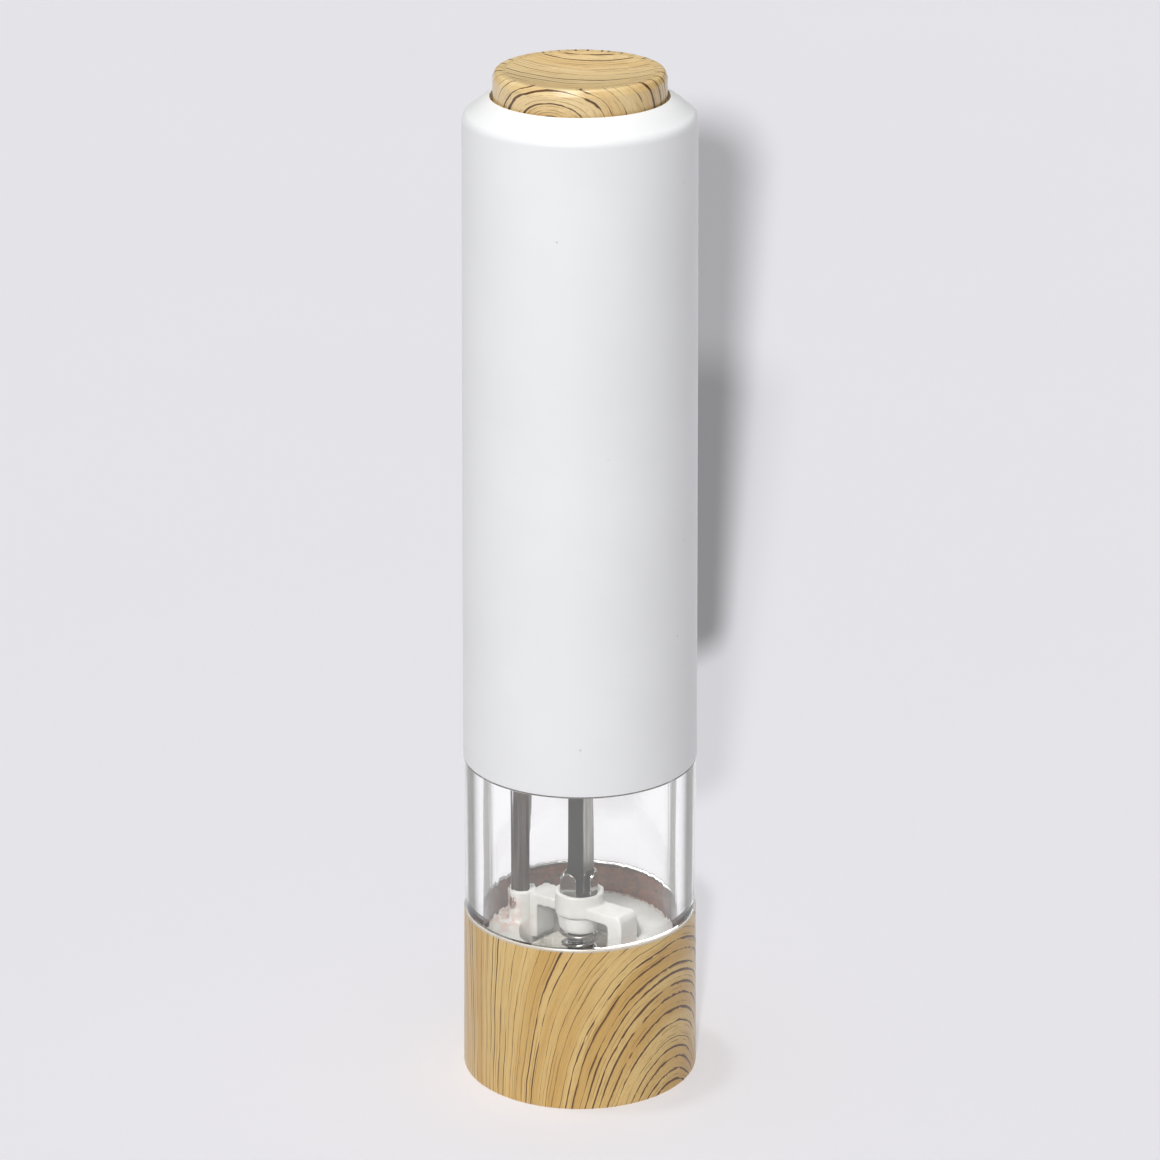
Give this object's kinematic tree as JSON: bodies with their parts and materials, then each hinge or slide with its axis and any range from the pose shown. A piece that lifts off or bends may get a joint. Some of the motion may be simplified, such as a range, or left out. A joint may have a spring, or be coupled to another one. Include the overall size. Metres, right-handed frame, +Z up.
{
  "type": "pepper mill",
  "caption": "Tall round push-button battery pepper mill: opaque sleeve, clear pepper chamber, wood-pattern base and button, ceramic burrs on a square shaft.",
  "frame": {"origin": "centre of the base ring's underside, on the surface the mill stands on", "axes": "+Z up along the mill's axis; -Y towards the side from which the lamp tube is left of the shaft"},
  "size_m": [0.0516, 0.0516, 0.225],
  "materials": {
    "wood_print": "satin plastic with a printed pale wood pattern",
    "white_gloss": "smooth satin white",
    "white_plastic": "moulded white",
    "clear_plastic": "clear polished acrylic",
    "ceramic": "fine white ceramic",
    "steel": "drawn steel",
    "brass": "plain",
    "nylon": "natural nylon",
    "black_plastic": "moulded black",
    "cell_skin": "plain printed sleeve"
  },
  "bodies": {
    "mill_base": {"base_ring": "wood_print", "clear_chamber": "clear_plastic", "chamber_floor": "white_plastic", "bearing_bush": "white_plastic", "stator_burr": "ceramic", "underside_cover": "white_plastic", "cover_screw_1": "steel", "cover_screw_2": "steel", "lamp_tube": "steel", "lamp_bulb": "clear_plastic", "lamp_lens": "clear_plastic"},
    "drive_unit": {"motor_base": "white_plastic", "lamp_contact_ring": "brass", "motor_housing": "white_plastic", "ring_gear": "nylon", "gearbox_cover": "nylon", "motor_can": "steel", "motor_terminal_1": "brass", "motor_terminal_2": "brass", "battery_carrier": "black_plastic", "battery_cell_1": "cell_skin", "battery_cell_2": "cell_skin", "battery_cell_3": "cell_skin", "battery_cell_4": "cell_skin", "contact_spring_1": "steel", "contact_spring_2": "steel", "contact_spring_3": "steel", "contact_spring_4": "steel", "contact_bottom_front": "brass", "contact_bottom_back": "brass", "contact_top_bridge": "brass", "contact_top_positive": "brass", "contact_top_negative": "brass", "switch_plate": "white_plastic", "switch_leaf": "brass", "switch_contact": "brass"},
    "shaft": {"drive_shaft": "steel", "shaft_washer": "steel", "shaft_clip": "steel", "planet_carrier": "nylon"},
    "rotor": {"rotor_burr": "ceramic", "rotor_spring": "steel"},
    "knob": {"adjuster_knob": "black_plastic"},
    "planet_1": {"planet_gear_1": "nylon"},
    "planet_2": {"planet_gear_2": "nylon"},
    "planet_3": {"planet_gear_3": "nylon"},
    "motor_rotor": {"motor_pinion": "brass", "motor_shaft": "steel"},
    "sleeve": {"sleeve": "white_gloss", "button_guide": "white_plastic"},
    "button": {"button_cap": "wood_print", "button_stem": "white_plastic", "return_spring": "steel"}
  },
  "joints": [
    {"name": "twist_lock", "type": "hinge", "parent": "mill_base", "child": "drive_unit", "pos_m": [0, 0, 0.08], "axis": [0, 0, 1], "range_deg": [0, 30]},
    {"name": "shaft_spin", "type": "hinge", "parent": "drive_unit", "child": "shaft", "pos_m": [0, 0, 0.08], "axis": [0, 0, 1], "continuous": true},
    {"name": "rotor_lift", "type": "slide", "parent": "shaft", "child": "rotor", "axis": [0, 0, 1], "range_m": [-0.00035, 0.00035], "deforming": ["rotor_spring"]},
    {"name": "knob_turn", "type": "hinge", "parent": "rotor", "child": "knob", "pos_m": [0, 0, 0.004], "axis": [0, 0, 1], "range_deg": [-180, 180]},
    {"name": "planet_spin_1", "type": "hinge", "parent": "shaft", "child": "planet_1", "pos_m": [0.00877, 0, 0.088], "axis": [0, 0, 1], "continuous": true},
    {"name": "planet_spin_2", "type": "hinge", "parent": "shaft", "child": "planet_2", "pos_m": [-0.00439, 0.0076, 0.088], "axis": [0, 0, 1], "continuous": true},
    {"name": "planet_spin_3", "type": "hinge", "parent": "shaft", "child": "planet_3", "pos_m": [-0.00439, -0.0076, 0.088], "axis": [0, 0, 1], "continuous": true},
    {"name": "motor_spin", "type": "hinge", "parent": "drive_unit", "child": "motor_rotor", "pos_m": [0, 0, 0.088], "axis": [0, 0, 1], "continuous": true},
    {"name": "sleeve_lift", "type": "slide", "parent": "drive_unit", "child": "sleeve", "axis": [0, 0, 1], "range_m": [0, 0.15]},
    {"name": "button_press", "type": "slide", "parent": "sleeve", "child": "button", "axis": [0, 0, -1], "range_m": [0, 0.003], "stiffness_N_per_m": 300, "springref_m": -0.003, "deforming": ["return_spring"]}
  ],
  "couplings": [
    {"joint": "motor_spin", "follows": "shaft_spin", "ratio": 6},
    {"joint": "planet_spin_1", "follows": "shaft_spin", "ratio": -2.5},
    {"joint": "planet_spin_2", "follows": "shaft_spin", "ratio": -2.5},
    {"joint": "planet_spin_3", "follows": "shaft_spin", "ratio": -2.5},
    {"joint": "knob_turn", "follows": "rotor_lift", "rad_per_m": 8975}
  ]
}
